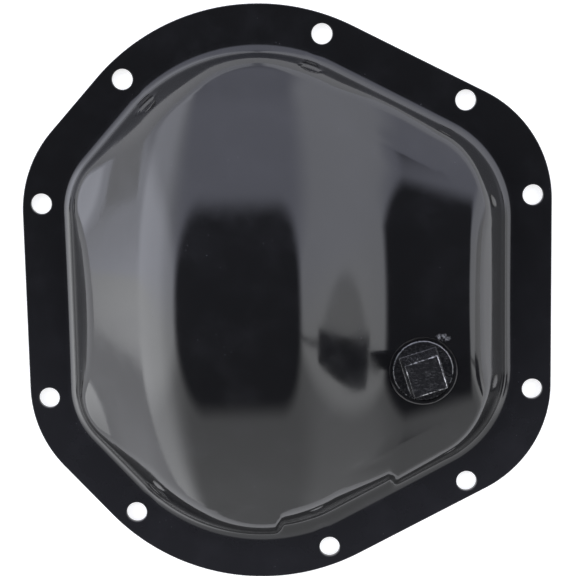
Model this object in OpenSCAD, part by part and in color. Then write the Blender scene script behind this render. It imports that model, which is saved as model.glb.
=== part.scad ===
// Pressed steel rear cover of an axle housing, lying on its gasket face.
// A flat ten-bolt flange surrounds a dome that clears the ring gear and the
// gear case. A threaded boss in the low part of the dome holds a filler plug.
// Z = 0 is the gasket face, X and Y are zero in the middle of the flange.

/* [Sheet] */
// Thickness of the steel sheet
sheet_t = 2.8; // [2:0.1:3.6]

/* [Flange] */
// Width of the flange along X
flange_w = 236.2; // [224:1:252]
// Height of the flange along Y
flange_h = 260.6; // [250:1:276]
// Radius of the two left corners
left_corner_r = 54.3; // [46:1:60]
// Distance of the left corner centres from the middle line
left_corner_y = 39.6; // [34:1:44]
// Radius of the two right corners
right_corner_r = 54.1; // [46:1:60]
// Distance of the right corner centres from the middle line
right_corner_y = 41.9; // [36:1:46]
// Radius of the crowned upper and lower edge
crown_edge_r = 94.7; // [86:1:104]
// Place along X of the highest point of the crowned edges
crown_edge_x = -12.9; // [-20:1:-4]

/* [Bolt holes] */
// Diameter of the bolt holes
bolt_d = 9.1; // [8:0.1:10.5]
// Distance of the side holes from the flange edge
side_bolt_inset = 8.5; // [8:0.5:10]
// Distance of the side holes from the middle line
side_bolt_y = 44.1; // [38:0.5:48]
// Place along X of the upper and lower left holes
left_bolt_x = -71.7; // [-76:0.5:-68]
// Distance of the upper and lower left holes from the middle line
left_bolt_y = 98.4; // [95:0.5:101]
// Place along X of the holes in the crowned edges
mid_bolt_x = 16.6; // [8:0.5:22]
// Distance of those holes from the top and bottom of the flange
mid_bolt_inset = 13.7; // [12:0.2:15]
// Place along X of the upper and lower right holes
right_bolt_x = 79.7; // [76:0.5:84]
// Distance of the upper and lower right holes from the middle line
right_bolt_y = 86.6; // [83:0.5:89]

/* [Dome rim] */
// Width of the flat land between the flange edge and the dome
land = 17; // [15:0.5:19]
// Corner radius of the dome's foot on the right
foot_right_r = 50; // [42:1:56]
// Distance of those corner centres from the middle line
foot_right_y = 33.6; // [28:1:38]
// Radius between the land and the wall, on the outside
foot_fillet_r = 6; // [4:0.5:7]
// Slope of the wall above the land, in degrees
wall_slope = 62; // [56:1:66]
// Height of the shoulder where the wall ends
shoulder_h = 14.5; // [12:0.5:17]
// Height of the rounding of the shoulder
shoulder_round = 3; // [1:0.2:4]
// Radius of the room left for a wrench round each bolt
wrench_r = 10; // [9:0.2:10.6]

/* [Dome crown] */
// Height of the ring gear bulge
crest_h = 53; // [48:1:60]
// Place along X where the bulge begins to fall to the right
crest_x = -4.5; // [-10:0.5:-1]
// Place along X where the bulge meets the low part
low_x = 50.5; // [46:0.5:56]
// Height of the low part over the gear case
low_h = 27; // [25:0.5:31]
// Radius of the bulge along Y, over the ring gear
crest_arc_r = 128; // [118:1:140]
// Radius of the low part along Y, which is almost flat
low_arc_r = 450; // [350:10:600]
// Slope of the bulge's left face, in degrees
left_slope = 41; // [38:1:45]
// Height of that face where it leaves the wall
left_shoulder_h = 19.5; // [17:0.5:22]
// Height of the right shoulder
right_shoulder_h = 12; // [10:0.5:14]
// Slope from the low part down to the right shoulder, in degrees
right_slope = 50; // [44:1:56]
// Slope from the low part down to its upper and lower ends, in degrees
end_slope = 27; // [22:1:32]
// Direction of those slopes from the X axis, in degrees
end_turn = 75; // [66:1:84]
// Distance along that direction where they reach the shoulder's height
end_reach = 81; // [78:0.5:86]
// Least height of the dome where it meets the wall in the corners
corner_h = 9; // [7:0.5:12]
// Height of the rounding between the left face and the bulge
crest_round = 12; // [8:0.5:16]
// Height of the rounding between the low part and its slopes
low_round = 8; // [5:0.5:11]

/* [Filler] */
// Place of the plug along X
plug_x = 58.1; // [54:0.5:61]
// Place of the plug along Y
plug_y = -30.3; // [-36:0.5:-24]
// Diameter of the plug's threaded body
plug_d = 26.7; // [24:0.1:28]
// Length of the plug
plug_len = 15.5; // [13:0.5:18]
// Side of the plug's square head, at its foot and at its top
head_w = 16; // [14:0.1:17]
head_top_w = 14.9; // [13:0.1:16]
// Height of the square head
head_h = 14; // [10:0.5:16]
// Turn of the head as the plug was tightened, in degrees
head_turn = 17; // [0:1:89]
// Outer diameter of the threaded boss
boss_d = 30.2; // [29.5:0.1:33]
// Length of the boss
boss_len = 14; // [11:0.5:16]
// Top of the boss below the face of the low part
boss_drop = 0.3; // [0:0.1:1]

/* [Hidden] */
$fn = 96;
// Radial play of the boss in its hole and of the thread
boss_play = 0.15;
thread_play = 0.05;
// Face of the plug below the top of its boss
plug_drop = 0.4;
// Points round the dome, and rings in its rim and crown
around = 120;
rim_insets = [0, 0.17, 0.33, 0.5, 0.65, 0.8, 0.93, 1.06, 1.22, 1.45];
crown_steps = 9;
outline_steps = 180;
// Horizontal run of the fillet and wall, up to the shoulder
fillet_run = foot_fillet_r*sin(wall_slope);
fillet_rise = foot_fillet_r*(1 - cos(wall_slope));
rim_run = fillet_run + (shoulder_h - sheet_t - fillet_rise)/tan(wall_slope);
// Where the left and right faces leave the wall
left_x = land + 12.5 - flange_w/2;
right_x = flange_w/2 - land - 7.8;
eps = 0.5;

// Each disc is [x, y, radius]; the outline is the hull of the discs and
// their mirror images in Y.
flange_discs = [
    [flange_w/2 - right_corner_r, right_corner_y, right_corner_r],
    [crown_edge_x, flange_h/2 - crown_edge_r, crown_edge_r],
    [left_corner_r - flange_w/2, left_corner_y, left_corner_r]];
foot_discs = [
    [flange_w/2 - land - foot_right_r, foot_right_y, foot_right_r],
    [crown_edge_x, flange_h/2 - crown_edge_r, crown_edge_r - land],
    [left_corner_r - flange_w/2, left_corner_y, left_corner_r - land]];
bolts = [
    [flange_w/2 - side_bolt_inset, side_bolt_y],
    [right_bolt_x, right_bolt_y],
    [mid_bolt_x, flange_h/2 - mid_bolt_inset],
    [left_bolt_x, left_bolt_y],
    [side_bolt_inset - flange_w/2, side_bolt_y]];
all_bolts = [for (b = bolts, side = [1, -1]) [b.x, side*b.y]];

// The closed loop of discs, anticlockwise
function loop(discs) = [
    each discs,
    for (i = [len(discs) - 1:-1:0]) [discs[i].x, -discs[i].y, discs[i].z]];
// The outer tangent of two discs that follow each other
function tangent(c, d) =
    let (e = [d.x - c.x, d.y - c.y],
         b = atan2(e.y, e.x) - acos((c.z - d.z)/norm(e)),
         n = [cos(b), sin(b)])
    [[c.x, c.y] + c.z*n, [d.x, d.y] + d.z*n];
function cross2(a, b) = a.x*b.y - a.y*b.x;
// How far a ray from the origin at an angle runs inside a disc
function disc_reach(c, a) =
    let (cu = c.x*cos(a) + c.y*sin(a),
         q = c.z*c.z - c.x*c.x - c.y*c.y + cu*cu)
    q > 0 ? cu + sqrt(q) : 0;
// Where the same ray crosses a tangent
function line_reach(s, a) =
    let (u = [cos(a), sin(a)], e = s[1] - s[0], den = cross2(u, e))
    den < 1e-6 ? 0
    : let (k = cross2(s[0], u)/den)
      k < 0 || k > 1 ? 0 : cross2(s[0], e)/den;
// Distance from the origin to the outline of a loop of discs
function reach(ring, a) =
    let (n = len(ring))
    max([for (i = [0:n - 1])
        max(disc_reach(ring[i], a),
            line_reach(tangent(ring[i], ring[(i + 1) % n]), a))]);
function polar(r, a) = [r*cos(a), r*sin(a)];

flange_loop = loop(flange_discs);
foot_loop = loop(foot_discs);

// Smooth smaller of two heights, blended over k
function soft_min(a, b, k) =
    let (h = max(k - abs(a - b), 0)/k) min(a, b) - k/4*h*h;

// Room for the wrench: the wall starts later near a corner or middle bolt
wrench_slant = 0.95;
wrench_blend = 3;
wrench_bolts = [for (b = all_bolts) if (abs(b.x) < right_x) b];
function eased(d, p, i = 0) =
    i == len(wrench_bolts) ? d
    : eased(soft_min(d, (norm(p - wrench_bolts[i]) - wrench_r)*wrench_slant,
                     wrench_blend), p, i + 1);
// Height of the fillet and wall at a distance inside the foot
function wall_z(d) =
    let (f = min(max(d, 0), fillet_run))
    sheet_t + foot_fillet_r - sqrt(foot_fillet_r*foot_fillet_r - f*f)
    + max(d - fillet_run, 0)*tan(wall_slope);
// How far the bulge has fallen at x, from 1 on its crest to 0 at its foot
function bulge_share(x) =
    let (u = min(max((x - crest_x)/(low_x - crest_x), 0), 1))
    (1 + cos(180*u))/2;
// Height of the bulge with its left face, curved along Y
function crest_z(p) =
    soft_min(left_shoulder_h + (p.x - left_x)*tan(left_slope), crest_h,
             crest_round)
    - p.y*p.y/2/crest_arc_r;
// Height of the low part with the slopes at its upper and lower ends
function low_z(p) =
    let (run = end_reach - p.x*cos(end_turn) - abs(p.y)*sin(end_turn))
    soft_min(low_h - p.y*p.y/2/low_arc_r, shoulder_h + run*tan(end_slope),
             low_round);
// Height of the top: the bulge falls to the low part, which ends at the right
function top_z(p) =
    let (b = bulge_share(p.x))
    soft_min(b*crest_z(p) + (1 - b)*low_z(p),
             right_shoulder_h + (right_x - p.x)*tan(right_slope), 6);
// Least height in the corners, d inside the foot
function corner_z(d) = corner_h + min(d - rim_run, 14)*tan(22);
// Outer height of the dome, d inside the foot; the rounding of the shoulder
// fades towards the foot, so the fillet still starts level with the land
function outer_z(p, d) =
    soft_min(wall_z(eased(d, p)), -soft_min(-top_z(p), -corner_z(d), 6),
             shoulder_round*min(max(d/rim_run, 0.05), 1));

// Rings of the outer face, from the foot to the middle
angles = [for (j = [0:around - 1]) 360*j/around];
foot_r = [for (a = angles) reach(foot_loop, a)];
foot_cos = [for (j = [0:around - 1])
    let (dr = reach(foot_loop, angles[j] + eps)
              - reach(foot_loop, angles[j] - eps),
         slope = dr/(2*eps*PI/180)/foot_r[j])
    1/sqrt(1 + slope*slope)];
function dome_point(j, r) =
    let (p = polar(r, angles[j]),
         z = outer_z(p, (foot_r[j] - r)*foot_cos[j]))
    [p.x, p.y, z];
last_inset = rim_insets[len(rim_insets) - 1];
outer = [
    for (f = rim_insets)
        [for (j = [0:around - 1])
            dome_point(j, foot_r[j] - f*rim_run/foot_cos[j])],
    for (k = [1:crown_steps - 1])
        [for (j = [0:around - 1])
            dome_point(j, (foot_r[j] - last_inset*rim_run/foot_cos[j])
                          *(1 - k/crown_steps))]];
rings = len(outer);
function unit(v) = v/norm(v);
function outer_normal(k, j) =
    k == 0 ? [0, 0, 1]
    : unit(cross(outer[k][(j + 1) % around] - outer[k][(j + around - 1) % around],
                 outer[min(k + 1, rings - 1)][j] - outer[k - 1][j]));
// The inner face lies one sheet thickness inside the outer one
inner = [for (k = [0:rings - 1])
    [for (j = [0:around - 1])
        outer[k][j] - sheet_t*outer_normal(k, j)]];
top_point = [0, 0, top_z([0, 0])];

// Two triangles between four corners, in order
function quad(a, b, c, d) = [[a, b, c], [a, c, d]];

module dome_shell() {
    last = rings - 1;
    size = rings*around;
    points = [each for (ring = outer) ring, each for (ring = inner) ring,
              top_point, top_point - [0, 0, sheet_t]];
    skin = [for (k = [0:last - 1], j = [0:around - 1])
        let (n = (j + 1) % around, a = k*around, b = a + around)
        each [each quad(a + n, a + j, b + j, b + n),
              each quad(size + a + j, size + a + n, size + b + n, size + b + j)]];
    caps = [for (j = [0:around - 1])
        let (n = (j + 1) % around, b = last*around)
        each [[b + n, b + j, 2*size],
              [size + b + j, size + b + n, 2*size + 1]]];
    seam = [for (j = [0:around - 1])
        let (n = (j + 1) % around)
        each quad(j, n, size + n, size + j)];
    polyhedron(points, [each skin, each caps, each seam], convexity = 6);
}

module flange_plate() {
    linear_extrude(sheet_t)
        difference() {
            polygon([for (i = [0:outline_steps - 1])
                let (a = 360*i/outline_steps)
                polar(reach(flange_loop, a), a)]);
            polygon([for (j = [0:around - 1]) polar(foot_r[j], angles[j])]);
            for (b = all_bolts)
                translate(b) circle(d = bolt_d);
        }
}

// The boss and plug stand on the face of the low part, where they lie
seat_h = top_z([plug_x, plug_y]);
module at_plug() {
    translate([plug_x, plug_y, seat_h]) children();
}

module stamped_cover() {
    color([0.12, 0.12, 0.13])
        difference() {
            union() {
                flange_plate();
                dome_shell();
            }
            at_plug()
                translate([0, 0, -low_h/2])
                    cylinder(d = boss_d + 2*boss_play, h = low_h);
        }
}

module filler_boss() {
    bore_r = plug_d/2 + thread_play;
    color([0.16, 0.16, 0.17])
        at_plug()
            rotate_extrude()
                translate([bore_r, -boss_drop - boss_len])
                    square([boss_d/2 - bore_r, boss_len]);
}

module filler_plug() {
    face = -boss_drop - plug_drop;
    color([0.2, 0.2, 0.21])
        at_plug()
            union() {
                translate([0, 0, face - plug_len])
                    cylinder(d = plug_d, h = plug_len);
                rotate(head_turn)
                    translate([0, 0, face])
                        linear_extrude(head_h, scale = head_top_w/head_w)
                            square(head_w, center = true);
            }
}

stamped_cover();
filler_boss();
filler_plug();
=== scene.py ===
"""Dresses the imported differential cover: gloss black pressed steel, a welded
filler boss and a square-headed pipe plug, on a plain white floor."""

import math
from functools import cache

import bmesh
import bpy
import numpy as np
from bpy.props import FloatProperty, FloatVectorProperty, PointerProperty
from mathutils import Euler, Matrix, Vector


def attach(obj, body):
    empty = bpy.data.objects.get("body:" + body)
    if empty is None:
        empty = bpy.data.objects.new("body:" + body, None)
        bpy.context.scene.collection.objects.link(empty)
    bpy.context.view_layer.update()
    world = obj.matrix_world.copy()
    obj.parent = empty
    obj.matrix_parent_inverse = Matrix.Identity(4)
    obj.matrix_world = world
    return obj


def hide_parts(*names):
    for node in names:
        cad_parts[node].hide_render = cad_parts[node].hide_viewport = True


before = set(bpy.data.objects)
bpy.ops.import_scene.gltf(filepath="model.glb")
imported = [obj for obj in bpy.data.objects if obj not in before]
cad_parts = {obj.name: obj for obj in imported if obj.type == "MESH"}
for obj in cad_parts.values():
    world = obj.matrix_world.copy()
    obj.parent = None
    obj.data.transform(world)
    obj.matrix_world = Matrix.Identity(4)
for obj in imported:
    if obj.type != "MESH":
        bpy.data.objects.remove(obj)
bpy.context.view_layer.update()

bl_info = {
    "name": "Differential Cover",
    "version": (1, 0, 0),
    "blender": (4, 5, 0),
    "location": "3D View > Sidebar > Cover",
    "description": "Builds a pressed steel differential cover with its filler plug",
    "category": "Add Mesh",
}

MM = 0.001
TAU = 2 * math.pi


# Sizes and colours


def length(label, text, mm):
    """A length property whose default is given in millimetres."""
    return FloatProperty(name=label, description=text, default=mm * MM, unit="LENGTH", precision=4)


def slope(label, text, degrees):
    """An angle property whose default is given in degrees."""
    return FloatProperty(name=label, description=text, default=math.radians(degrees), subtype="ANGLE")


def colour(label, text, value):
    """A colour property."""
    return FloatVectorProperty(
        name=label, description=text, default=value, min=0.0, max=1.0, size=3, subtype="COLOR"
    )


class CoverSizes(bpy.types.PropertyGroup):
    sheet_t: length("Sheet", "Thickness of the steel sheet", 2.8)
    flange_w: length("Flange width", "Width of the flange along X", 236.2)
    flange_h: length("Flange height", "Height of the flange along Y", 260.6)
    left_corner_r: length("Left corner radius", "Radius of the two left corners", 54.3)
    left_corner_y: length("Left corner place", "From the middle line to their centres", 39.6)
    right_corner_r: length("Right corner radius", "Radius of the two right corners", 54.1)
    right_corner_y: length("Right corner place", "From the middle line to their centres", 41.9)
    crown_edge_r: length("Crowned edge radius", "Radius of the upper and lower edge", 94.7)
    crown_edge_x: length("Crowned edge place", "Place along X of their highest point", -12.9)
    bolt_d: length("Bolt hole", "Diameter of the bolt holes", 9.1)
    side_bolt_inset: length("Side hole inset", "From the flange edge to the side holes", 8.5)
    side_bolt_y: length("Side hole place", "From the middle line to the side holes", 44.1)
    left_bolt_x: length("Outer left holes X", "Place along X of these two holes", -71.7)
    left_bolt_y: length("Outer left holes Y", "From the middle line to these two holes", 98.4)
    mid_bolt_x: length("Middle hole X", "Place along X of the middle holes", 16.6)
    mid_bolt_inset: length("Middle hole inset", "From the flange edge to those holes", 13.7)
    right_bolt_x: length("Outer right holes X", "Place along X of these two holes", 79.7)
    right_bolt_y: length("Outer right holes Y", "From the middle line to these two holes", 86.6)
    edge_r: length("Edge rounding", "Rounding of the cut edges", 0.45)
    land: length("Land", "Width of the flat between the flange edge and the dome", 17.0)
    foot_right_r: length("Right foot radius", "Radius of the foot's right corners", 50.0)
    foot_right_y: length("Right foot place", "From the middle line to their centres", 33.6)
    foot_fillet_r: length("Foot fillet", "Radius between the land and the wall", 6.0)
    wall_slope: slope("Wall slope", "Slope of the wall above the land", 62.0)
    shoulder_h: length("Shoulder height", "Height of the shoulder where the wall ends", 14.5)
    shoulder_round: length("Shoulder rounding", "Height of the shoulder's rounding", 3.0)
    wrench_r: length("Wrench room", "Radius left for a wrench round each bolt", 8.2)
    end_spread: length("End spread", "How much further out the foot is at the ends", 1.5)
    crest_h: length("Bulge height", "Height of the ring gear bulge", 53.0)
    crest_x: length("Bulge edge", "X where the bulge begins to fall", -4.5)
    low_x: length("Low part edge", "X where the bulge meets the low part", 50.5)
    low_h: length("Low part height", "Height of the low part over the gear case", 27.0)
    crest_arc_r: length("Bulge radius", "Radius of the bulge along Y", 128.0)
    low_arc_r: length("Low part radius", "Radius of the low part along Y", 450.0)
    left_slope: slope("Left slope", "Slope of the bulge's left face", 41.0)
    left_shoulder_h: length("Left shoulder", "Height of the left face at the wall", 19.5)
    right_shoulder_h: length("Right shoulder", "Height of the right shoulder", 12.0)
    right_slope: slope("Right slope", "Slope down to the right shoulder", 50.0)
    end_slope: slope("End slope", "Slope of the low part down to its ends", 27.0)
    end_turn: slope("End direction", "Direction of those slopes from the X axis", 75.0)
    end_reach: length("End reach", "Distance along it to the shoulder's height", 81.0)
    corner_h: length("Corner height", "Least height of the dome at the wall", 9.0)
    crest_round: length("Bulge rounding", "Height of the rounding beside the bulge", 12.0)
    low_round: length("Low part rounding", "Height of the rounding round the low part", 8.0)


class FillerSizes(bpy.types.PropertyGroup):
    plug_x: length("Plug X", "Place of the plug along X", 58.1)
    plug_y: length("Plug Y", "Place of the plug along Y", -30.3)
    plug_d: length("Plug diameter", "Diameter of the threaded body", 26.7)
    plug_len: length("Plug length", "Length of the threaded body", 15.5)
    head_w: length("Head foot", "Side of the square head at its foot", 16.0)
    head_top_w: length("Head top", "Side of the square head at its top", 14.9)
    head_h: length("Head height", "Height of the square head", 14.0)
    head_turn: slope("Head turn", "Turn of the square head about Z", 17.0)
    boss_d: length("Boss diameter", "Outer diameter of the threaded boss", 30.2)
    boss_len: length("Boss length", "Length of the boss", 14.0)
    boss_drop: length("Boss drop", "Top of the boss below the face", 0.3)
    boss_play: length("Boss play", "Radial play of the boss in its hole", 0.15)
    thread_play: length("Thread play", "Radial play of the thread", 0.05)
    plug_drop: length("Plug drop", "Face of the plug below the top of its boss", 0.4)
    thread_pitch: length("Thread pitch", "Pitch of the pipe thread, fourteen to the inch", 1.814)


class CoverLook(bpy.types.PropertyGroup):
    paint: colour("Paint", "Gloss black paint", (0.0085, 0.0085, 0.009))
    dust: colour("Dust", "Fine dust on the paint", (0.17, 0.17, 0.2))
    primer: colour("Worn edge", "What shows where an edge has rubbed", (0.075, 0.072, 0.07))
    chip: colour("Chips", "Chips and grit beside the plug", (0.26, 0.26, 0.27))
    plug_black: colour("Plug black", "Black coat on the cast plug", (0.014, 0.014, 0.015))
    plug_steel: colour("Plug steel", "Bare metal on worn edges", (0.62, 0.62, 0.63))
    floor: colour("Floor", "Plain white floor", (0.8, 0.8, 0.8))


# Shape of the pressed sheet


def settings(name):
    """The property group of that name in this file's scene."""
    return getattr(bpy.context.scene, name)


def flange_discs(s):
    """The discs whose hull is the flange, upper half, anticlockwise from the right: x, y, radius."""
    return [
        (s.flange_w / 2 - s.right_corner_r, s.right_corner_y, s.right_corner_r),
        (s.crown_edge_x, s.flange_h / 2 - s.crown_edge_r, s.crown_edge_r),
        (s.left_corner_r - s.flange_w / 2, s.left_corner_y, s.left_corner_r),
    ]


def foot_discs(s):
    """The discs whose hull is the foot of the dome: the flange's, less the land, but for the right."""
    right = (s.flange_w / 2 - s.land - s.foot_right_r, s.foot_right_y, s.foot_right_r)
    return [right] + [(x, y, r - s.land) for x, y, r in flange_discs(s)[1:]]


def bolt_places(s):
    """The middle of each bolt hole."""
    upper = [
        (s.flange_w / 2 - s.side_bolt_inset, s.side_bolt_y),
        (s.right_bolt_x, s.right_bolt_y),
        (s.mid_bolt_x, s.flange_h / 2 - s.mid_bolt_inset),
        (s.left_bolt_x, s.left_bolt_y),
        (s.side_bolt_inset - s.flange_w / 2, s.side_bolt_y),
    ]
    return [(x, side * y) for x, y in upper for side in (1, -1)]


def reach(discs, angle):
    """How far rays from the origin run inside the hull of the discs and their mirror images."""
    ring = list(discs) + [(x, -y, r) for x, y, r in reversed(discs)]
    cos, sin = np.cos(angle), np.sin(angle)
    best = np.zeros_like(angle)
    for x, y, r in ring:
        along = x * cos + y * sin
        inside = r * r - x * x - y * y + along * along
        best = np.where(inside > 0, np.maximum(best, along + np.sqrt(np.maximum(inside, 0))), best)
    for (x1, y1, r1), (x2, y2, r2) in zip(ring, ring[1:] + ring[:1]):
        dx, dy = x2 - x1, y2 - y1
        normal = math.atan2(dy, dx) - math.acos((r1 - r2) / math.hypot(dx, dy))
        nx, ny = math.cos(normal), math.sin(normal)
        ax, ay = x1 + r1 * nx, y1 + r1 * ny
        ex, ey = x2 + r2 * nx - ax, y2 + r2 * ny - ay
        across = cos * ey - sin * ex
        across = np.where(np.abs(across) < 1e-9, 1e-9, across)
        k = (ax * sin - ay * cos) / across
        hit = (across > 0) & (k >= 0) & (k <= 1)
        best = np.where(hit, np.maximum(best, (ax * ey - ay * ex) / across), best)
    return best


def soft_min(a, b, k):
    """The smaller of two heights, blended smoothly over k."""
    h = np.maximum(k - np.abs(a - b), 0) / k
    return np.minimum(a, b) - k / 4 * h * h


def ramp(value, low, high):
    """A smooth step from 0 at low to 1 at high."""
    t = np.clip((value - low) / (high - low), 0, 1)
    return t * t * (3 - 2 * t)


class Dome:
    """The outer face of the pressed dome as heights over the flange's plan."""

    STEPS = 1440
    # From the land to where the bulge's left face and the right shoulder begin
    LEFT_RUN = 12.5 * MM
    RIGHT_RUN = 7.8 * MM
    # How much the wall leans back at the upper and lower ends
    END_LEAN = 0.18
    # The least height of the dome rises from the wall at this slope, over this run
    CORNER_RISE = math.radians(22)
    CORNER_RUN = 14 * MM
    BLEND = 6 * MM
    # The ledge in the wall of a wrench pocket: where it starts, and its width
    LEDGE = 5.4 * MM
    LEDGE_W = 2.8 * MM
    # How far the lower wall is set back, and where its two steps start and end along X
    SET_BACK = 2.6 * MM
    STEP_LEFT = (-8.5 * MM, -4 * MM)
    STEP_RIGHT = (49 * MM, 43.5 * MM)
    # Each dent: x, y, half length, half width, turn and depth, in millimetres and degrees
    DENTS = (
        (40.5, 71.0, 8.0, 5.0, -20.0, 0.3),
        (33.0, -74.5, 11.0, 4.0, 14.0, 0.35),
        (-77.0, -43.5, 5.0, 1.6, 105.0, 0.12),
    )

    def __init__(self, s):
        self.s = s
        self.left_x = s.land + self.LEFT_RUN - s.flange_w / 2
        self.right_x = s.flange_w / 2 - s.land - self.RIGHT_RUN
        self.bolts = [b for b in bolt_places(s) if abs(b[0]) < self.right_x]
        self.angles = np.linspace(-math.pi, math.pi, self.STEPS + 1)
        self.foot = reach(foot_discs(s), self.angles) + s.end_spread * self.away(self.angles)
        turn = np.gradient(self.foot, self.angles) / self.foot
        self.cos = 1 / np.sqrt(1 + turn * turn)
        self.fillet_run = s.foot_fillet_r * math.sin(s.wall_slope)
        rise = s.foot_fillet_r * (1 - math.cos(s.wall_slope))
        self.rim_run = self.fillet_run + (s.shoulder_h - s.sheet_t - rise) / math.tan(s.wall_slope)

    def away(self, angle):
        """How far a direction is from the two sides, from 0 to 1."""
        return 1 - np.cos(angle) ** 4

    def foot_at(self, angle):
        """Distance of the foot from the origin, and the cosine of its lean, at an angle."""
        return np.interp(angle, self.angles, self.foot), np.interp(angle, self.angles, self.cos)

    def wall_z(self, d):
        """Height of the fillet and wall, d inside the foot."""
        s = self.s
        f = np.clip(d, 0, self.fillet_run)
        arc = s.sheet_t + s.foot_fillet_r - np.sqrt(s.foot_fillet_r**2 - f * f)
        return arc + np.maximum(d - self.fillet_run, 0) * math.tan(s.wall_slope)

    def pocket(self, gap):
        """How far inside the foot the wall stands at a gap from a bolt: it starts later, and
        has a small ledge below the shoulder."""
        e = gap - self.s.wrench_r
        beyond = e - self.LEDGE
        return (
            1.2 * np.minimum(e, self.LEDGE)
            + 0.3 * np.clip(beyond, 0, self.LEDGE_W)
            + 2.2 * np.maximum(beyond - self.LEDGE_W, 0)
        )

    def dents(self, x, y):
        """Depth of the small dents in the face."""
        total = np.zeros_like(x)
        for cx, cy, half_long, half_wide, turn, depth in self.DENTS:
            cos, sin = math.cos(math.radians(turn)), math.sin(math.radians(turn))
            dx, dy = x - cx * MM, y - cy * MM
            u = (dx * cos + dy * sin) / (half_long * MM)
            v = (dy * cos - dx * sin) / (half_wide * MM)
            total = total + depth * MM * np.exp(-2 * (u * u + v * v))
        return total

    def set_back(self, x, y, plain):
        """How much the lower wall leans back above its foot, between its two steps."""
        back = self.SET_BACK * ramp(x, *self.STEP_LEFT) * ramp(x, *self.STEP_RIGHT)
        return back * ramp(plain, 3.5 * MM, 11 * MM) * ramp(y, -60 * MM, -70 * MM)

    def top_z(self, x, y):
        """Height of the bulge and of the low part that it falls to."""
        s = self.s
        u = np.clip((x - s.crest_x) / (s.low_x - s.crest_x), 0, 1)
        b = (1 + np.cos(math.pi * u)) / 2
        arc = y * y / 2
        left = s.left_shoulder_h + (x - self.left_x) * math.tan(s.left_slope)
        crest = soft_min(left, s.crest_h, s.crest_round) - arc / s.crest_arc_r
        run = s.end_reach - x * math.cos(s.end_turn) - np.abs(y) * math.sin(s.end_turn)
        ends = s.shoulder_h + run * math.tan(s.end_slope)
        low = soft_min(s.low_h - arc / s.low_arc_r, ends, s.low_round)
        right = s.right_shoulder_h + (self.right_x - x) * math.tan(s.right_slope)
        return soft_min(b * crest + (1 - b) * low, right, self.BLEND)

    def seat(self, f):
        """Height of the low part's face at the plug."""
        return float(self.top_z(np.array(f.plug_x), np.array(f.plug_y)))

    def height(self, x, y):
        """Height of the outer face."""
        s = self.s
        angle = np.arctan2(y, x)
        foot, lean = self.foot_at(angle)
        plain = (foot - np.hypot(x, y)) * lean
        d = plain * (1 - self.END_LEAN * self.away(angle)) - self.set_back(x, y, plain)
        for bx, by in self.bolts:
            d = soft_min(d, self.pocket(np.hypot(x - bx, y - by)), 1.5 * MM)
        rise = np.minimum(plain - self.rim_run, self.CORNER_RUN) * math.tan(self.CORNER_RISE)
        crown = -soft_min(-self.top_z(x, y), -(s.corner_h + rise), self.BLEND)
        fade = np.clip(plain / self.rim_run, 0.05, 1)
        z = soft_min(self.wall_z(d), crown - self.dents(x, y), s.shoulder_round * fade)
        return np.where(plain <= 0, s.sheet_t, z)

    def normal(self, x, y):
        """Outward normals of the outer face."""
        e = 0.04 * MM
        gx = (self.height(x + e, y) - self.height(x - e, y)) / (2 * e)
        gy = (self.height(x, y + e) - self.height(x, y - e)) / (2 * e)
        n = np.stack([-gx, -gy, np.ones_like(gx)], -1)
        return n / np.linalg.norm(n, axis=-1, keepdims=True)


# Mesh helpers


def deselect():
    """Nothing is selected, so an operator acts on the new piece alone."""
    if bpy.context.mode != "OBJECT":
        bpy.ops.object.mode_set(mode="OBJECT")
    bpy.ops.object.select_all(action="DESELECT")


def activate(obj):
    """Only this object is selected, and it is the active one."""
    deselect()
    obj.select_set(True)
    bpy.context.view_layer.objects.active = obj


def named(name):
    """The active object, named and with its place in its mesh."""
    obj = bpy.context.object
    obj.name = name
    obj.data.name = name
    activate(obj)
    bpy.ops.object.transform_apply(location=True, rotation=True, scale=True)
    return obj


def apply_modifiers(obj):
    """Every modifier becomes mesh."""
    activate(obj)
    for m in list(obj.modifiers):
        bpy.ops.object.modifier_apply(modifier=m.name)


def smooth(obj, degrees):
    """Shades the object smooth, apart from edges sharper than this."""
    activate(obj)
    bpy.ops.object.shade_smooth_by_angle(angle=math.radians(degrees))


def cut(obj, tool, operation="DIFFERENCE"):
    """The tool is cut out of the object, or joined to it, and is then gone."""
    m = obj.modifiers.new("cut", "BOOLEAN")
    m.operation = operation
    m.solver = "EXACT"
    m.object = tool
    apply_modifiers(obj)
    bpy.data.objects.remove(tool, do_unlink=True)


def read(items, name, width=1, kind=float):
    """One property of all the vertices, corners or faces of a mesh, a row for each."""
    values = np.empty(len(items) * width, dtype=kind)
    items.foreach_get(name, values)
    return values.reshape(-1, width) if width > 1 else values


def rolled(name, rings, around, closed=False):
    """A grid primitive rolled into a tube: rings gives the points of each ring in order along the
    surface. The tube's ends are capped, or it closes on itself like a hose."""
    deselect()
    count = len(rings)
    bpy.ops.mesh.primitive_grid_add(x_subdivisions=around, y_subdivisions=count - 1, size=1)
    obj = bpy.context.object
    points = np.empty((count, around + 1, 3))
    for k, ring in enumerate(rings):
        points[k, :around] = ring
        points[k, around] = ring[0]
    obj.data.vertices.foreach_set("co", points.reshape(-1))
    obj.data.update()
    bpy.ops.object.mode_set(mode="EDIT")
    bpy.ops.mesh.select_all(action="SELECT")
    bpy.ops.mesh.remove_doubles(threshold=1e-7)
    if not closed:
        bpy.ops.mesh.select_all(action="DESELECT")
        bpy.ops.mesh.select_mode(type="EDGE")
        bpy.ops.mesh.select_non_manifold(use_wire=False, use_multi_face=False, use_verts=False)
        bpy.ops.mesh.edge_face_add()
    bpy.ops.mesh.select_all(action="SELECT")
    bpy.ops.mesh.normals_make_consistent(inside=False)
    bpy.ops.object.mode_set(mode="OBJECT")
    return named(name)


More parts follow.
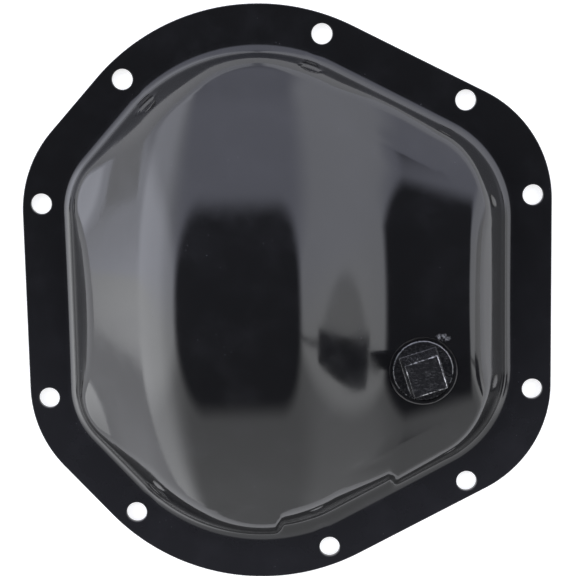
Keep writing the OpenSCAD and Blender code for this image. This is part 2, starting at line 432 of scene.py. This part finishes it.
def circle(r, z, around, x=0.0, y=0.0):
    """Points of a level circle; r and z may change round it."""
    a = np.arange(around) * TAU / around
    return np.stack([x + r * np.cos(a), y + r * np.sin(a), z + np.zeros(around)], -1)


# Depth of the rounded pipe thread as a share of its pitch
THREAD_DEPTH = 0.6


def thread_ring(r, z, low, high, pitch, inward, around, x, y):
    """A ring of points on a helical thread of radius r at height z. The thread fades towards its
    ends; inward threads are cut into a bore."""
    a = np.arange(around) / around
    phase = (z / pitch - a) % 1.0
    tooth = np.abs(2 * phase - 1)
    fade = np.clip((z - low) / pitch, 0, 1) * np.clip((high - z) / pitch, 0, 1)
    depth = THREAD_DEPTH * pitch * tooth * fade
    return circle(r + (depth if inward else -depth), z, around, x, y)


# Materials


def group(name, inputs, outputs):
    """A new shader node group with its sockets, and its input and output nodes."""
    tree = bpy.data.node_groups.new(name, "ShaderNodeTree")
    for way, rows in (("INPUT", inputs), ("OUTPUT", outputs)):
        for label, kind, *value in rows:
            sock = tree.interface.new_socket(name=label, in_out=way, socket_type=f"NodeSocket{kind}")
            if value:
                sock.default_value = value[0]
    return tree, tree.nodes.new("NodeGroupInput"), tree.nodes.new("NodeGroupOutput")


def node(tree, kind, values=(), **facts):
    """A node with its properties, and with its sockets set or linked in order of name."""
    n = tree.nodes.new(kind)
    for key, value in facts.items():
        setattr(n, key, value)
    for key, value in dict(values).items():
        if isinstance(value, bpy.types.NodeSocket):
            tree.links.new(value, n.inputs[key])
        else:
            n.inputs[key].default_value = value
    return n


def after(kind, values, **facts):
    """A node in the tree of the sockets that it takes."""
    sockets = [v for v in values.values() if isinstance(v, bpy.types.NodeSocket)]
    return node(sockets[0].id_data, kind, values, **facts)


def noise(place, scale, detail=3.0, roughness=0.5):
    """A noise value over the surface."""
    values = {"Vector": place, "Scale": scale, "Detail": detail, "Roughness": roughness}
    return after("ShaderNodeTexNoise", values).outputs["Fac"]


def maths(operation, a, b=0.0, clamp=False):
    """The result of one sum."""
    return after("ShaderNodeMath", {0: a, 1: b}, operation=operation, use_clamp=clamp).outputs[0]


def times(value, *others):
    """The product of the values."""
    for other in others:
        value = maths("MULTIPLY", value, other)
    return value


def plus(value, *others):
    """The sum of the values."""
    for other in others:
        value = maths("ADD", value, other)
    return value


def minus(a, b):
    """What is left of the first value."""
    return maths("SUBTRACT", a, b)


def vector(operation, values):
    """The result of one sum on vectors or colours."""
    return after("ShaderNodeVectorMath", values, operation=operation).outputs[0]


def spread(value, low, high, to_low=0.0, to_high=1.0):
    """A value carried from one range to another, and kept in it."""
    values = {"Value": value, "From Min": low, "From Max": high, "To Min": to_low, "To Max": to_high}
    return after("ShaderNodeMapRange", values, interpolation_type="SMOOTHSTEP").outputs["Result"]


def blend(factor, a, b):
    """Two colours mixed by a factor."""
    return after("ShaderNodeMix", {0: factor, 6: a, 7: b}, data_type="RGBA").outputs[2]


def connect(target, values):
    """Links each value to the socket of its name."""
    for label, value in values.items():
        target.id_data.links.new(value, target.inputs[label])


@cache
def paint_skin_group():
    """Sprayed gloss paint: orange peel, slow waves of the pressed sheet, fine dust and specks, and
    a film of dust on the flange that grows towards its lower edge and corners."""
    tree, into, out = group(
        "paint skin",
        [("Place", "Vector"), ("Paint", "Color"), ("Dust", "Color"), ("Film", "Float", 0.0)]
        + [("Gloss", "Float", 0.15), ("Peel", "Float", 0.5), ("Waves", "Float", 0.5)],
        [("Color", "Color"), ("Roughness", "Float"), ("Height", "Float")],
    )
    p = into.outputs["Place"]
    peel = noise(p, 620.0, 2.0)
    waves = noise(p, 34.0, 1.0)
    cloud = noise(p, 55.0, 4.0, 0.6)
    cells = after("ShaderNodeTexVoronoi", {"Vector": p, "Scale": 330.0}).outputs["Distance"]
    speck = times(spread(cells, 0.11, 0.04), spread(cloud, 0.52, 0.66))
    axes = after("ShaderNodeSeparateXYZ", {"Vector": p}).outputs
    front = minus(axes["Y"], times(maths("ABSOLUTE", axes["X"]), 0.35))
    flange = spread(axes["Z"], 0.0045, 0.003)
    film = times(flange, spread(front, 0.03, -0.14), into.outputs["Film"])
    dust = plus(times(spread(cloud, 0.42, 0.8), 0.03), film)
    dust = maths("ADD", dust, times(speck, 0.12), clamp=True)
    rough = plus(into.outputs["Gloss"], spread(cloud, 0.3, 0.75, -0.02, 0.05))
    peel = times(peel, into.outputs["Peel"])
    waves = times(waves, into.outputs["Waves"])
    values = {
        "Color": blend(dust, into.outputs["Paint"], into.outputs["Dust"]),
        "Roughness": maths("ADD", rough, times(speck, 0.35), clamp=True),
        "Height": plus(peel, waves, times(speck, 0.4)),
    }
    connect(out, values)
    return tree


@cache
def worn_edge_group():
    """Where an edge has rubbed: an edge value from the mesh, broken up by noise."""
    tree, into, out = group(
        "worn edge",
        [("Place", "Vector"), ("Edge", "Float"), ("Amount", "Float", 0.5), ("Grain", "Float", 400.0)],
        [("Mask", "Float")],
    )
    coarse = noise(into.outputs["Place"], 90.0, 4.0, 0.65)
    fine = noise(into.outputs["Place"], into.outputs["Grain"], 3.0, 0.6)
    both = plus(times(coarse, 0.6), times(fine, 0.4))
    reachable = times(into.outputs["Edge"], into.outputs["Amount"])
    over = plus(both, minus(reachable, 1.0))
    connect(out, {"Mask": spread(over, 0.0, 0.12)})
    return tree


def material(name):
    """A new material, its Principled shader and the object's own coordinates."""
    m = bpy.data.materials.new(name)
    m.use_nodes = True
    nodes = m.node_tree.nodes
    return m, nodes["Principled BSDF"], nodes.new("ShaderNodeTexCoord").outputs["Object"]


def use(shared, values):
    """What a shared node group gives in a material, with the material's own values."""
    return after("ShaderNodeGroup", values, node_tree=shared).outputs


def worn(place, attribute, amount, grain=400.0):
    """The worn edge group, fed by a value that the mesh stores at its vertices."""
    stored = node(place.id_data, "ShaderNodeAttribute", attribute_name=attribute).outputs["Fac"]
    values = {"Place": place, "Edge": stored, "Amount": amount, "Grain": grain}
    return use(worn_edge_group(), values)["Mask"]


def rgba(value):
    """A colour property with full alpha."""
    return (*value, 1.0)


def bump(height, distance):
    """A normal bent by a height over this distance in metres."""
    return after("ShaderNodeBump", {"Height": height, "Distance": distance}).outputs["Normal"]


def black_paint(
    look, name="black_paint", gloss=0.09, peel=0.35, waves=1.0, wear=0.3, film=0.06, chips=True
):
    """Gloss black paint with orange peel, dust and rubbed edges, and chips where they are marked."""
    m, shader, place = material(name)
    values = {"Place": place, "Paint": rgba(look.paint), "Dust": rgba(look.dust)}
    values |= {"Film": film, "Gloss": gloss, "Peel": peel, "Waves": waves}
    skin = use(paint_skin_group(), values)
    bare = worn(place, "edge", wear)
    shade = blend(bare, skin["Color"], rgba(look.primer))
    if chips:
        chip = worn(place, "chips", 0.62, 1100.0)
        shade = blend(chip, shade, rgba(look.chip))
        bare = maths("MAXIMUM", bare, chip)
    values = {
        "Base Color": shade,
        "Roughness": plus(skin["Roughness"], times(bare, 0.25)),
        "Normal": bump(skin["Height"], 0.00001),
    }
    connect(shader, values)
    shader.inputs["IOR"].default_value = 1.6
    return m


def plug_coat(look):
    """Black coat on a rough cast plug, worn to bright metal on its rim and edges, with extra bare
    metal on the rim's upper side and the head's right side as a painted highlight.
    """
    m, shader, place = material("plug_steel")
    turned = {"Vector": place, "Scale": (1.0, 9.0, 1.0), "Rotation": (0, 0, 0.5)}
    scratch = noise(after("ShaderNodeMapping", turned).outputs[0], 420.0, 3.0, 0.7)
    scratch = times(spread(scratch, 0.56, 0.72), 0.24)
    bare = maths("MAXIMUM", worn(place, "edge", 0.8, 900.0), scratch)
    cast = noise(place, 900.0, 4.0, 0.6)
    lumps = noise(place, 260.0, 2.0)
    values = {
        "Base Color": blend(bare, rgba(look.plug_black), rgba(look.plug_steel)),
        "Metallic": bare,
        "Roughness": plus(spread(cast, 0.3, 0.7, 0.15, 0.34), times(bare, 0.05)),
        "Normal": bump(plus(times(cast, 0.5), lumps), 0.00012),
    }
    connect(shader, values)
    shader.inputs["IOR"].default_value = 1.5
    return m


def mark_attribute(obj, name, values):
    """Stores a value at each vertex: how exposed it is to wear, or to chips."""
    layer = obj.data.attributes.new(name, "FLOAT", "POINT")
    layer.data.foreach_set("value", np.asarray(values, dtype=np.float32))


def dress(obj, mat, nodes):
    """Gives the piece its material and body, and hides the nodes that it stands for."""
    obj.data.materials.clear()
    obj.data.materials.append(mat)
    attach(obj, "root")
    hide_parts(nodes)


# Pieces


def rim_profile(s):
    """How a cut edge runs from the top face to the gasket face: inward step and height."""
    r = s.edge_r
    turn = np.radians([0, 30, 60, 90])
    upper = [(r - r * math.sin(t), s.sheet_t - r + r * math.cos(t)) for t in turn]
    lower = [(r - r * math.cos(t), r - r * math.sin(t)) for t in turn]
    return upper + lower


class COVER_OT_stamped_cover(bpy.types.Operator):
    """Press the sheet: flat flange with its ten holes, wall, bulge and low part"""

    bl_idname = "cover.stamped_cover"
    bl_label = "Pressed Cover"

    AROUND = 480
    RIM_RINGS = 26
    CROWN_RINGS = 58
    OUTLINE = 480
    HOLE = 48
    # The close rings run this share of the wall's width in from the foot
    RIM_REACH = 1.6
    # How near a point is to a face that it lies on
    TOUCH = 1e-5

    def face_rings(self, dome):
        """Points of the dome's outer and inner face, ring by ring from the foot inwards."""
        angle = np.arange(self.AROUND) * TAU / self.AROUND
        angle = np.where(angle > math.pi, angle - TAU, angle)
        foot, lean = dome.foot_at(angle)
        rim = np.linspace(0, self.RIM_REACH, self.RIM_RINGS)
        rings = [foot - f * dome.rim_run / lean for f in rim]
        last = rings[-1]
        rings += [last * (1 - k / self.CROWN_RINGS) for k in range(1, self.CROWN_RINGS)]
        r = np.array(rings)
        x, y = r * np.cos(angle), r * np.sin(angle)
        z = dome.height(x, y)
        z[0] = dome.s.sheet_t
        outer = np.stack([x, y, z], -1)
        normal = dome.normal(x, y)
        normal[0] = (0, 0, 1)
        return outer, outer - dome.s.sheet_t * normal

    def add_rings(self, bm, rings, flip):
        """One skin of the dome, from its foot to its innermost ring."""
        verts = [[bm.verts.new(p) for p in ring] for ring in rings]
        n = self.AROUND
        for lower, upper in zip(verts, verts[1:]):
            for j in range(n):
                k = (j + 1) % n
                quad = (lower[j], lower[k], upper[k], upper[j])
                bm.faces.new(reversed(quad) if flip else quad)
        return verts

    def cap(self, bm, ring, point, flip):
        """Triangles from the innermost ring to the middle."""
        tip = bm.verts.new(point)
        n = len(ring)
        for j in range(n):
            tri = (ring[j], ring[(j + 1) % n], tip)
            bm.faces.new(reversed(tri) if flip else tri)

    def flat_face(self, bm, loops, flip):
        """The flange's face between its outer edge, its holes and the dome's foot."""
        edges = []
        for chain in loops:
            pairs = zip(chain, chain[1:] + chain[:1])
            edges += [bm.edges.get(pair) or bm.edges.new(pair) for pair in pairs]
        up = Vector((0, 0, -1 if flip else 1))
        bmesh.ops.triangle_fill(bm, use_beauty=True, use_dissolve=False, edges=edges, normal=up)

    def execute(self, context):
        s = settings("cover_sizes")
        f = settings("filler_sizes")
        dome = Dome(s)
        outer, inner = self.face_rings(dome)
        bm = bmesh.new()
        top = self.add_rings(bm, outer, False)
        low = self.add_rings(bm, inner, True)
        peak = float(dome.height(np.array(0.0), np.array(0.0)))
        self.cap(bm, top[-1], (0, 0, peak), False)
        self.cap(bm, low[-1], (0, 0, peak - s.sheet_t), True)

        # The cut edges: the outer rim and the wall of each hole
        angle = np.linspace(0, TAU, self.OUTLINE, endpoint=False)
        rim_r = reach(flange_discs(s), np.where(angle > math.pi, angle - TAU, angle))
        chains = [(rim_r, -1, (0.0, 0.0), self.OUTLINE)]
        chains += [(s.bolt_d / 2, 1, place, self.HOLE) for place in bolt_places(s)]
        upper, lower = [], []
        for radius, way, (x, y), count in chains:
            rings = [circle(radius + way * step, z, count, x, y) for step, z in rim_profile(s)]
            rings = [[bm.verts.new(p) for p in ring] for ring in rings]
            for a, b in zip(rings, rings[1:]):
                for j in range(count):
                    k = (j + 1) % count
                    quad = (a[j], b[j], b[k], a[k])
                    bm.faces.new(quad if way < 0 else reversed(quad))
            upper.append(rings[0])
            lower.append(rings[-1])
        self.flat_face(bm, upper + [top[0]], False)
        self.flat_face(bm, lower + [low[0]], True)
        bmesh.ops.recalc_face_normals(bm, faces=bm.faces)
        mesh = bpy.data.meshes.new("cover_sheet")
        bm.to_mesh(mesh)
        bm.free()
        obj = bpy.data.objects.new("cover_sheet", mesh)
        context.collection.objects.link(obj)

        # The hole for the boss
        deselect()
        r = f.boss_d / 2 + f.boss_play
        place = (f.plug_x, f.plug_y, 25 * MM)
        bpy.ops.mesh.primitive_cylinder_add(vertices=96, radius=r, depth=60 * MM, location=place)
        cut(obj, named("boss_hole"))
        smooth(obj, 40)
        self.true_normals(obj, dome)
        self.mark(obj, s, dome)
        dress(obj, black_paint(settings("cover_look")), "stamped_cover")
        return {"FINISHED"}

    def true_normals(self, obj, dome):
        """Gives the dome and flats their exact normals, so that the gloss runs clean."""
        mesh = obj.data
        vert = read(mesh.loops, "vertex_index", kind=np.int32)
        shaded = read(mesh.corner_normals, "vector", 3)
        totals = read(mesh.polygons, "loop_total", kind=np.int32)
        face_n = np.repeat(read(mesh.polygons, "normal", 3), totals, axis=0)
        x, y, z = read(mesh.vertices, "co", 3)[vert].T
        foot, lean = dome.foot_at(np.arctan2(y, x))
        inside = (foot - np.hypot(x, y)) * lean > self.TOUCH
        outer = np.where(inside[:, None], dome.normal(x, y), (0.0, 0.0, 1.0))
        face_z = np.where(inside, dome.height(x, y), dome.s.sheet_t)
        on_top = np.abs(z - face_z) < 2 * self.TOUCH
        near = (face_n * outer).sum(-1) > math.cos(math.radians(35))
        level = np.abs(face_n[:, 2]) > 0.99999
        result = np.where((on_top & near)[:, None], outer, shaded)
        mesh.normals_split_custom_set(np.where(level[:, None], face_n, result))

    def mark(self, obj, s, dome):
        """Marks the rim and the hole edges as exposed, and the chipped paint round the plug."""
        x, y, z = read(obj.data.vertices, "co", 3).T
        gaps = [reach(flange_discs(s), np.arctan2(y, x)) - np.hypot(x, y)]
        gaps += [np.hypot(x - bx, y - by) - s.bolt_d / 2 for bx, by in bolt_places(s)]
        mark_attribute(obj, "edge", np.min(gaps, axis=0) < s.edge_r * 1.01)

        # Grit at the plug's upper right, a scuff on the lower right wall, and the hole's edge
        f = settings("filler_sizes")
        right, up = x - f.plug_x, y - f.plug_y
        gap = np.hypot(right, up) - f.boss_d / 2
        grit = np.hypot((right - 8.2 * MM) / 6, (up - 14.8 * MM) / 3.2) / MM
        scuff = np.hypot((x - 88 * MM) / 2.5, (y + 46 * MM) / 8) / MM
        chips = np.maximum(np.clip(1.45 - grit, 0, 0.98), np.clip(1 - scuff, 0, 0.72))
        edge = np.where((right < 0) & (up < 5 * MM), 0.8, 0.62) * np.clip(1 - gap / (1.1 * MM), 0, 1)
        outside = np.abs(z - dome.height(x, y)) < 0.5 * MM
        chips = np.maximum(chips, edge) * outside * (z > s.sheet_t * 2)
        mark_attribute(obj, "chips", chips)


class COVER_OT_filler_boss(bpy.types.Operator):
    """Turn the threaded boss and lay its weld under the sheet"""

    bl_idname = "cover.filler_boss"
    bl_label = "Filler Boss"

    AROUND = 120
    CHAMFER = 0.35 * MM
    # The weld bead's middle outside the boss and below the sheet, its half width and half height
    BEAD = (0.9 * MM, 0.5 * MM, 1.3 * MM, 1.1 * MM)

    def execute(self, context):
        s = settings("cover_sizes")
        f = settings("filler_sizes")
        dome = Dome(s)
        x, y = f.plug_x, f.plug_y
        top = dome.seat(f) - f.boss_drop
        low = top - f.boss_len
        bore = f.plug_d / 2 + f.thread_play
        outer = f.boss_d / 2
        c = self.CHAMFER
        profile = [
            (bore + c, top - 0.02 * MM),
            (outer - c, top),
            (outer - 0.3 * c, top - 0.3 * c),
            (outer, top - c),
            *((outer, z) for z in np.linspace(top - 1.2 * MM, low + 1.2 * MM, 6)),
            (outer, low + c),
            (outer - 0.3 * c, low + 0.3 * c),
            (outer - c, low),
            (bore + c, low),
        ]
        rings = [circle(r, z, self.AROUND, x, y) for r, z in profile]
        rings += [
            thread_ring(bore, z, low + c, top - c, f.thread_pitch, True, self.AROUND, x, y)
            for z in np.arange(low + c, top - c, f.thread_pitch / 8)
        ]
        rings += [circle(bore, top - c, self.AROUND, x, y), rings[0]]
        boss = rolled("filler_boss_ring", rings, self.AROUND, closed=True)

        # The weld bead: a rippled fillet where the boss leaves the sheet's inner face
        around = self.AROUND * 2
        a = np.arange(around) * TAU / around
        px, py = x + (outer + 0.6 * MM) * np.cos(a), y + (outer + 0.6 * MM) * np.sin(a)
        inner_z = dome.height(px, py) - s.sheet_t / dome.normal(px, py)[:, 2]
        ripple = 0.12 * MM * np.sin(a * 60) + 0.1 * MM * np.sin(a * 7 + 1.0)
        out, drop, half_w, half_h = self.BEAD
        tube = []
        for t in np.linspace(0, TAU, 12, endpoint=False):
            r = outer + (out + ripple) + (half_w + ripple) * np.cos(t)
            z = inner_z - drop + (half_h + ripple * 0.7) * np.sin(t)
            tube.append(circle(r, z, around, x, y))
        tube.append(tube[0])
        weld = rolled("filler_boss_weld", tube, around, closed=True)
        activate(boss)
        weld.select_set(True)
        bpy.ops.object.join()
        smooth(boss, 35)
        px, py, pz = read(boss.data.vertices, "co", 3).T
        r = np.hypot(px - x, py - y)
        mark_attribute(boss, "edge", 0.9 * ((pz > top - 1.1 * c) & (r > outer - 1.1 * c)))
        look = settings("cover_look")
        mat = black_paint(
            look, "boss_paint", gloss=0.2, peel=1.0, waves=1.5, wear=0.75, film=0.0, chips=False
        )
        dress(boss, mat, "filler_boss")
        return {"FINISHED"}


class COVER_OT_filler_plug(bpy.types.Operator):
    """Turn the threaded plug and forge its square head"""

    bl_idname = "cover.filler_plug"
    bl_label = "Filler Plug"

    AROUND = 120
    CHAMFER = 0.5 * MM
    # How far the head's straight sides start above the face
    ROOT = 0.7 * MM
    # The fillet at the head's foot, in steps down and out, in millimetres, and its root below
    FILLET = ((0.3, 0.1), (0.25, 0.15), (0.15, 0.25), (1.0, 0.0))

    def execute(self, context):
        f = settings("filler_sizes")
        x, y = f.plug_x, f.plug_y
        face = Dome(settings("cover_sizes")).seat(f) - f.boss_drop - f.plug_drop
        low = face - f.plug_len
        r0 = f.plug_d / 2
        c = self.CHAMFER
        rings = [
            circle(r0 - c, low, self.AROUND, x, y),
            circle(r0 - 0.5 * c, low + 0.35 * c, self.AROUND, x, y),
        ]
        rings += [
            thread_ring(r0, z, low, face - c, f.thread_pitch, False, self.AROUND, x, y)
            for z in np.arange(low + c, face - c, f.thread_pitch / 8)
        ]
        for t in np.radians([0, 22, 45, 68, 90]):
            r, z = r0 - c + c * math.cos(t), face - c + c * math.sin(t)
            rings.append(circle(r, z, self.AROUND, x, y))
        rings.append(circle(r0 - 1.6 * c, face - 0.05 * MM, self.AROUND, x, y))
        plug = rolled("filler_plug_cast", rings, self.AROUND)
        cut(plug, self.square_head(f, face), "UNION")
        smooth(plug, 32)
        self.mark(plug, f, face)
        dress(plug, plug_coat(settings("cover_look")), "filler_plug")
        return {"FINISHED"}

    def square_head(self, f, face):
        """The square head, drawn in towards its top, with rounded edges and a root in the plug."""
        x, y = f.plug_x, f.plug_y
        deselect()
        bpy.ops.mesh.primitive_cube_add(size=1, location=(0, 0, 0))
        head = bpy.context.object
        for v in head.data.vertices:
            half = (f.head_top_w if v.co.z > 0 else f.head_w) / 2
            z = face + (f.head_h if v.co.z > 0 else self.ROOT)
            v.co = (math.copysign(half, v.co.x), math.copysign(half, v.co.y), z)
        bpy.ops.object.mode_set(mode="EDIT")
        bpy.ops.mesh.select_all(action="SELECT")
        bpy.ops.transform.rotate(value=-f.head_turn, orient_axis="Z", center_override=(0, 0, 0))
        bpy.ops.transform.translate(value=(x, y, 0))
        bpy.ops.object.mode_set(mode="OBJECT")
        bm = bmesh.new()
        bm.from_mesh(head.data)
        low_z = min(v.co.z for v in bm.verts)
        edges = [e for e in bm.edges if max(v.co.z for v in e.verts) > low_z + 1 * MM]
        bmesh.ops.bevel(bm, geom=edges, offset=0.4 * MM, segments=3, profile=0.5, affect="EDGES")
        high = max(v.co.z for v in bm.verts)
        lid = [q for q in bm.faces if min(v.co.z for v in q.verts) > high - 1e-6]
        bmesh.ops.inset_region(bm, faces=lid, thickness=0.3 * MM)
        foot = [q for q in bm.faces if max(v.co.z for v in q.verts) < low_z + 1e-6]
        half = f.head_w / 2
        for drop, out in self.FILLET:
            made = bmesh.ops.extrude_face_region(bm, geom=foot)["geom"]
            bmesh.ops.delete(bm, geom=foot, context="FACES_ONLY")
            foot = [q for q in made if isinstance(q, bmesh.types.BMFace)]
            grown = 1 + out * MM / half
            half *= grown
            for v in {v for q in foot for v in q.verts}:
                v.co = (x + (v.co.x - x) * grown, y + (v.co.y - y) * grown, v.co.z - drop * MM)
        bm.to_mesh(head.data)
        bm.free()
        return named("square_head")

    def mark(self, plug, f, face):
        """Marks the rim, the rounded edges of the head and the line at its foot as exposed; the rim's
        upper side and the head's right side get more bare metal, a painted highlight.
        """
        px, py, pz = read(plug.data.vertices, "co", 3).T
        dx, dy = px - f.plug_x, py - f.plug_y
        r = np.hypot(dx, dy)
        # Bare metal on the rim, heaviest on its upper side: partly wear, partly a painted highlight
        # standing in for the crescent of light along the upper rim.
        lit = 0.6 + 0.4 * np.clip(0.75 + 1.6 * np.sin(np.arctan2(dy, dx) - 0.2), 0, 1)
        on_rim = (r > f.plug_d / 2 - 0.7 * MM) & (pz > face - 0.8 * MM) & (pz < face + 0.1 * MM)
        cos, sin = math.cos(f.head_turn), math.sin(f.head_turn)
        u = np.abs(dx * cos + dy * sin)
        v = np.abs(-dx * sin + dy * cos)
        up = np.clip((pz - face) / f.head_h, 0, 1)
        half = f.head_w / 2 * (1 - up) + f.head_top_w / 2 * up
        near_top = pz > face + f.head_h - 0.6 * MM
        band = 0.5 * MM
        near_side = np.maximum(u, v) > half - band
        near_corner = np.minimum(u, v) > half - band
        on_head = (pz > face + 0.8 * MM) & ((near_top & near_side) | near_corner)
        # The head's right edges get more bare metal than its others: partly wear, partly a painted
        # highlight on that side.
        head_wear_and_highlight = np.where(dx * cos - dy * sin > half - 0.9 * MM, 0.71, 0.655)
        on_root = (np.abs(pz - face) < 0.1 * MM) & (r < f.plug_d / 2 - 1.0 * MM)
        exposed = np.maximum(np.where(on_rim, lit, 0.0), np.where(on_head, head_wear_and_highlight, 0.0))
        mark_attribute(plug, "edge", np.maximum(exposed, np.where(on_root, 0.66, 0.0)))


class COVER_OT_stage(bpy.types.Operator):
    """Set up the floor, the soft studio light and the camera"""

    bl_idname = "cover.stage"
    bl_label = "Stage"

    # The light of each panel, and what the dark room around them adds
    LEFT = (3.7, 3.75, 3.8)
    RIGHT = (1.9, 1.92, 1.93)
    UPPER = (1.22, 1.24, 1.36)
    LOWER = (0.79, 0.8, 0.8)
    ROOM = (0.043, 0.045, 0.056)
    # How the tent leans, and how square its opening overhead is
    LEAN = math.radians(-8.5)
    SQUARE = 2.2

    def floor(self):
        """A plain white floor just below the gasket face."""
        deselect()
        bpy.ops.mesh.primitive_plane_add(size=6, location=(0, 0, -0.0002))
        floor = named("floor")
        m, shader, _ = material("floor_white")
        shader.inputs["Base Color"].default_value = rgba(settings("cover_look").floor)
        shader.inputs["Roughness"].default_value = 0.9
        shader.inputs["Specular IOR Level"].default_value = 0.0
        shader.inputs["Emission Color"].default_value = (1, 1, 1, 1)
        connect(shader, {"Emission Strength": self.seen(m.node_tree, 0.75)})
        floor.data.materials.append(m)

    def seen(self, tree, strength):
        """That strength for rays from the camera, a reflection or through glass, and none else."""
        path = tree.nodes.new("ShaderNodeLightPath").outputs
        any_ray = maths("MAXIMUM", path["Is Camera Ray"], path["Is Glossy Ray"])
        return times(maths("MAXIMUM", any_ray, path["Is Transmission Ray"]), strength)

    def light(self, context):
        """A tent of soft panels: a strong one on the left, weaker ones above, on the right and
        below, and a dark opening overhead."""
        world = bpy.data.worlds.new("studio_tent")
        context.scene.world = world
        world.use_nodes = True
        tree = world.node_tree
        tree.nodes.clear()
        way = tree.nodes.new("ShaderNodeTexCoord").outputs["Generated"]
        turned = after("ShaderNodeMapping", {"Vector": way, "Rotation": (self.LEAN, 0, 0)})
        axes = after("ShaderNodeSeparateXYZ", {"Vector": turned.outputs[0]}).outputs
        up = maths("MAXIMUM", axes["Z"], 0.02)
        u = maths("DIVIDE", axes["X"], up)
        v = maths("DIVIDE", axes["Y"], up)

        # The opening overhead is a rounded square, and light fades in from its edge
        across = maths("ABSOLUTE", maths("DIVIDE", plus(u, 0.05), 0.94))
        along = maths("ABSOLUTE", maths("DIVIDE", plus(v, -0.02), 0.92))
        both = plus(maths("POWER", across, self.SQUARE), maths("POWER", along, self.SQUARE))
        wall = spread(maths("POWER", both, 1 / self.SQUARE), 0.8, 1.16)

        # The side panels' edges are crisp beside the opening and soft further up and down
        soft = spread(maths("ABSOLUTE", v), 0.2, 0.8)
        near, far = times(soft, 0.3), times(soft, 0.5)
        left = spread(u, minus(near, 0.78), minus(-1.12, far))
        right = spread(u, minus(0.7, near), plus(far, 1.01))
        middle = minus(1.0, maths("MAXIMUM", left, right))
        middle = times(middle, spread(axes["Z"], 0.0, 0.3, 0.6, 1.0))
        upper = spread(v, -0.5, 0.5)
        side = maths("DIVIDE", axes["Y"], maths("MINIMUM", axes["X"], -0.02))
        left = times(
            left,
            spread(u, -0.9, -2.4, 0.7, 1.0),
            spread(axes["Z"], 0.0, 0.09, 0.65, 1.0),
            spread(maths("ABSOLUTE", side), 0.4, 0.8, 1.0, 0.68),
        )
        panels = (
            (left, self.LEFT),
            (times(right, self.gap(way)), self.RIGHT),
            (times(middle, upper), self.UPPER),
            (times(middle, minus(1.0, upper)), self.LOWER),
        )
        total, *others = [vector("SCALE", {0: tint, "Scale": mask}) for mask, tint in panels]
        for lit in others:
            total = vector("ADD", {0: total, 1: lit})
        total = vector("SCALE", {0: total, "Scale": wall})
        cool = blend(upper, (1.0, 1.0, 1.01, 1.0), (0.98, 0.99, 1.09, 1.0))
        total = vector("MULTIPLY", {0: total, 1: cool})
        total = vector("ADD", {0: total, 1: self.ROOM})
        tent = after("ShaderNodeBackground", {"Color": total})
        white = node(tree, "ShaderNodeBackground", {"Color": (1, 1, 1, 1)})
        camera_ray = tree.nodes.new("ShaderNodeLightPath").outputs["Is Camera Ray"]
        lights = {0: camera_ray, 1: tent.outputs[0], 2: white.outputs[0]}
        mix = after("ShaderNodeMixShader", lights)
        connect(tree.nodes.new("ShaderNodeOutputWorld"), {"Surface": mix.outputs[0]})

    def gap(self, way):
        """The right panel's share of light: it fades towards the front, and has a dark gap low
        beside the table with a dimmer strip next to it."""
        axes = after("ShaderNodeSeparateXYZ", {"Vector": way}).outputs
        turn = maths("DIVIDE", axes["Y"], maths("MAXIMUM", axes["X"], 0.02))
        card = times(spread(turn, -0.258, -0.27), spread(turn, -0.5, -0.475))
        card = times(card, spread(axes["Z"], 0.44, 0.42), spread(axes["Z"], 0.16, 0.2))
        leg = plus(turn, times(axes["Z"], 0.37))
        strip = times(spread(leg, -0.16, -0.175), spread(leg, -0.235, -0.22))
        strip = times(strip, spread(axes["Z"], 0.42, 0.44))
        card = maths("MAXIMUM", card, times(strip, 0.75))
        edge = plus(axes["Z"], times(turn, 0.5))
        dim = times(spread(edge, 0.29, 0.23), spread(turn, 0.06, -0.02), spread(turn, -0.34, -0.28))
        front = spread(turn, -0.5, -0.85, 1.0, 0.55)
        dimmed = minus(1.0, times(dim, 0.35))
        return times(front, dimmed, minus(1.0, card))

    def camera(self, context):
        """The camera stands above the upper edge and looks down at the middle of the cover."""
        data = bpy.data.cameras.new("camera")
        data.lens = 92.6
        data.sensor_width = 36.0
        data.clip_start = 0.01
        cam = bpy.data.objects.new("camera", data)
        cam.location = (-0.0006, 0.0978, 0.662)
        turn = [math.radians(a) for a in (-8.08, -0.17, -1.06)]
        cam.rotation_euler = Euler(turn, "XYZ")
        context.collection.objects.link(cam)
        context.scene.camera = cam
        context.scene.view_settings.view_transform = "Standard"

    def execute(self, context):
        self.camera(context)
        self.floor()
        self.light(context)
        return {"FINISHED"}


class COVER_PT_panel(bpy.types.Panel):
    bl_idname = "COVER_PT_panel"
    bl_label = "Differential Cover"
    bl_space_type = "VIEW_3D"
    bl_region_type = "UI"
    bl_category = "Cover"

    def draw(self, context):
        for operator in OPERATORS:
            self.layout.operator(operator.bl_idname)
        for name in GROUP_NAMES:
            box = self.layout.box()
            group_now = getattr(context.scene, name)
            for key in group_now.__annotations__:
                box.prop(group_now, key)


OPERATORS = (
    COVER_OT_stage,
    COVER_OT_stamped_cover,
    COVER_OT_filler_boss,
    COVER_OT_filler_plug,
)
GROUP_NAMES = {"cover_sizes": CoverSizes, "filler_sizes": FillerSizes, "cover_look": CoverLook}
CLASSES = (*GROUP_NAMES.values(), *OPERATORS, COVER_PT_panel)


def register():
    for c in CLASSES:
        bpy.utils.register_class(c)
    for name, kind in GROUP_NAMES.items():
        setattr(bpy.types.Scene, name, PointerProperty(type=kind))


def unregister():
    for name in GROUP_NAMES:
        delattr(bpy.types.Scene, name)
    for c in reversed(CLASSES):
        bpy.utils.unregister_class(c)


def main():
    register()
    bpy.ops.cover.stage()
    bpy.ops.cover.stamped_cover()
    bpy.ops.cover.filler_boss()
    bpy.ops.cover.filler_plug()


if __name__ == "__main__":
    main()
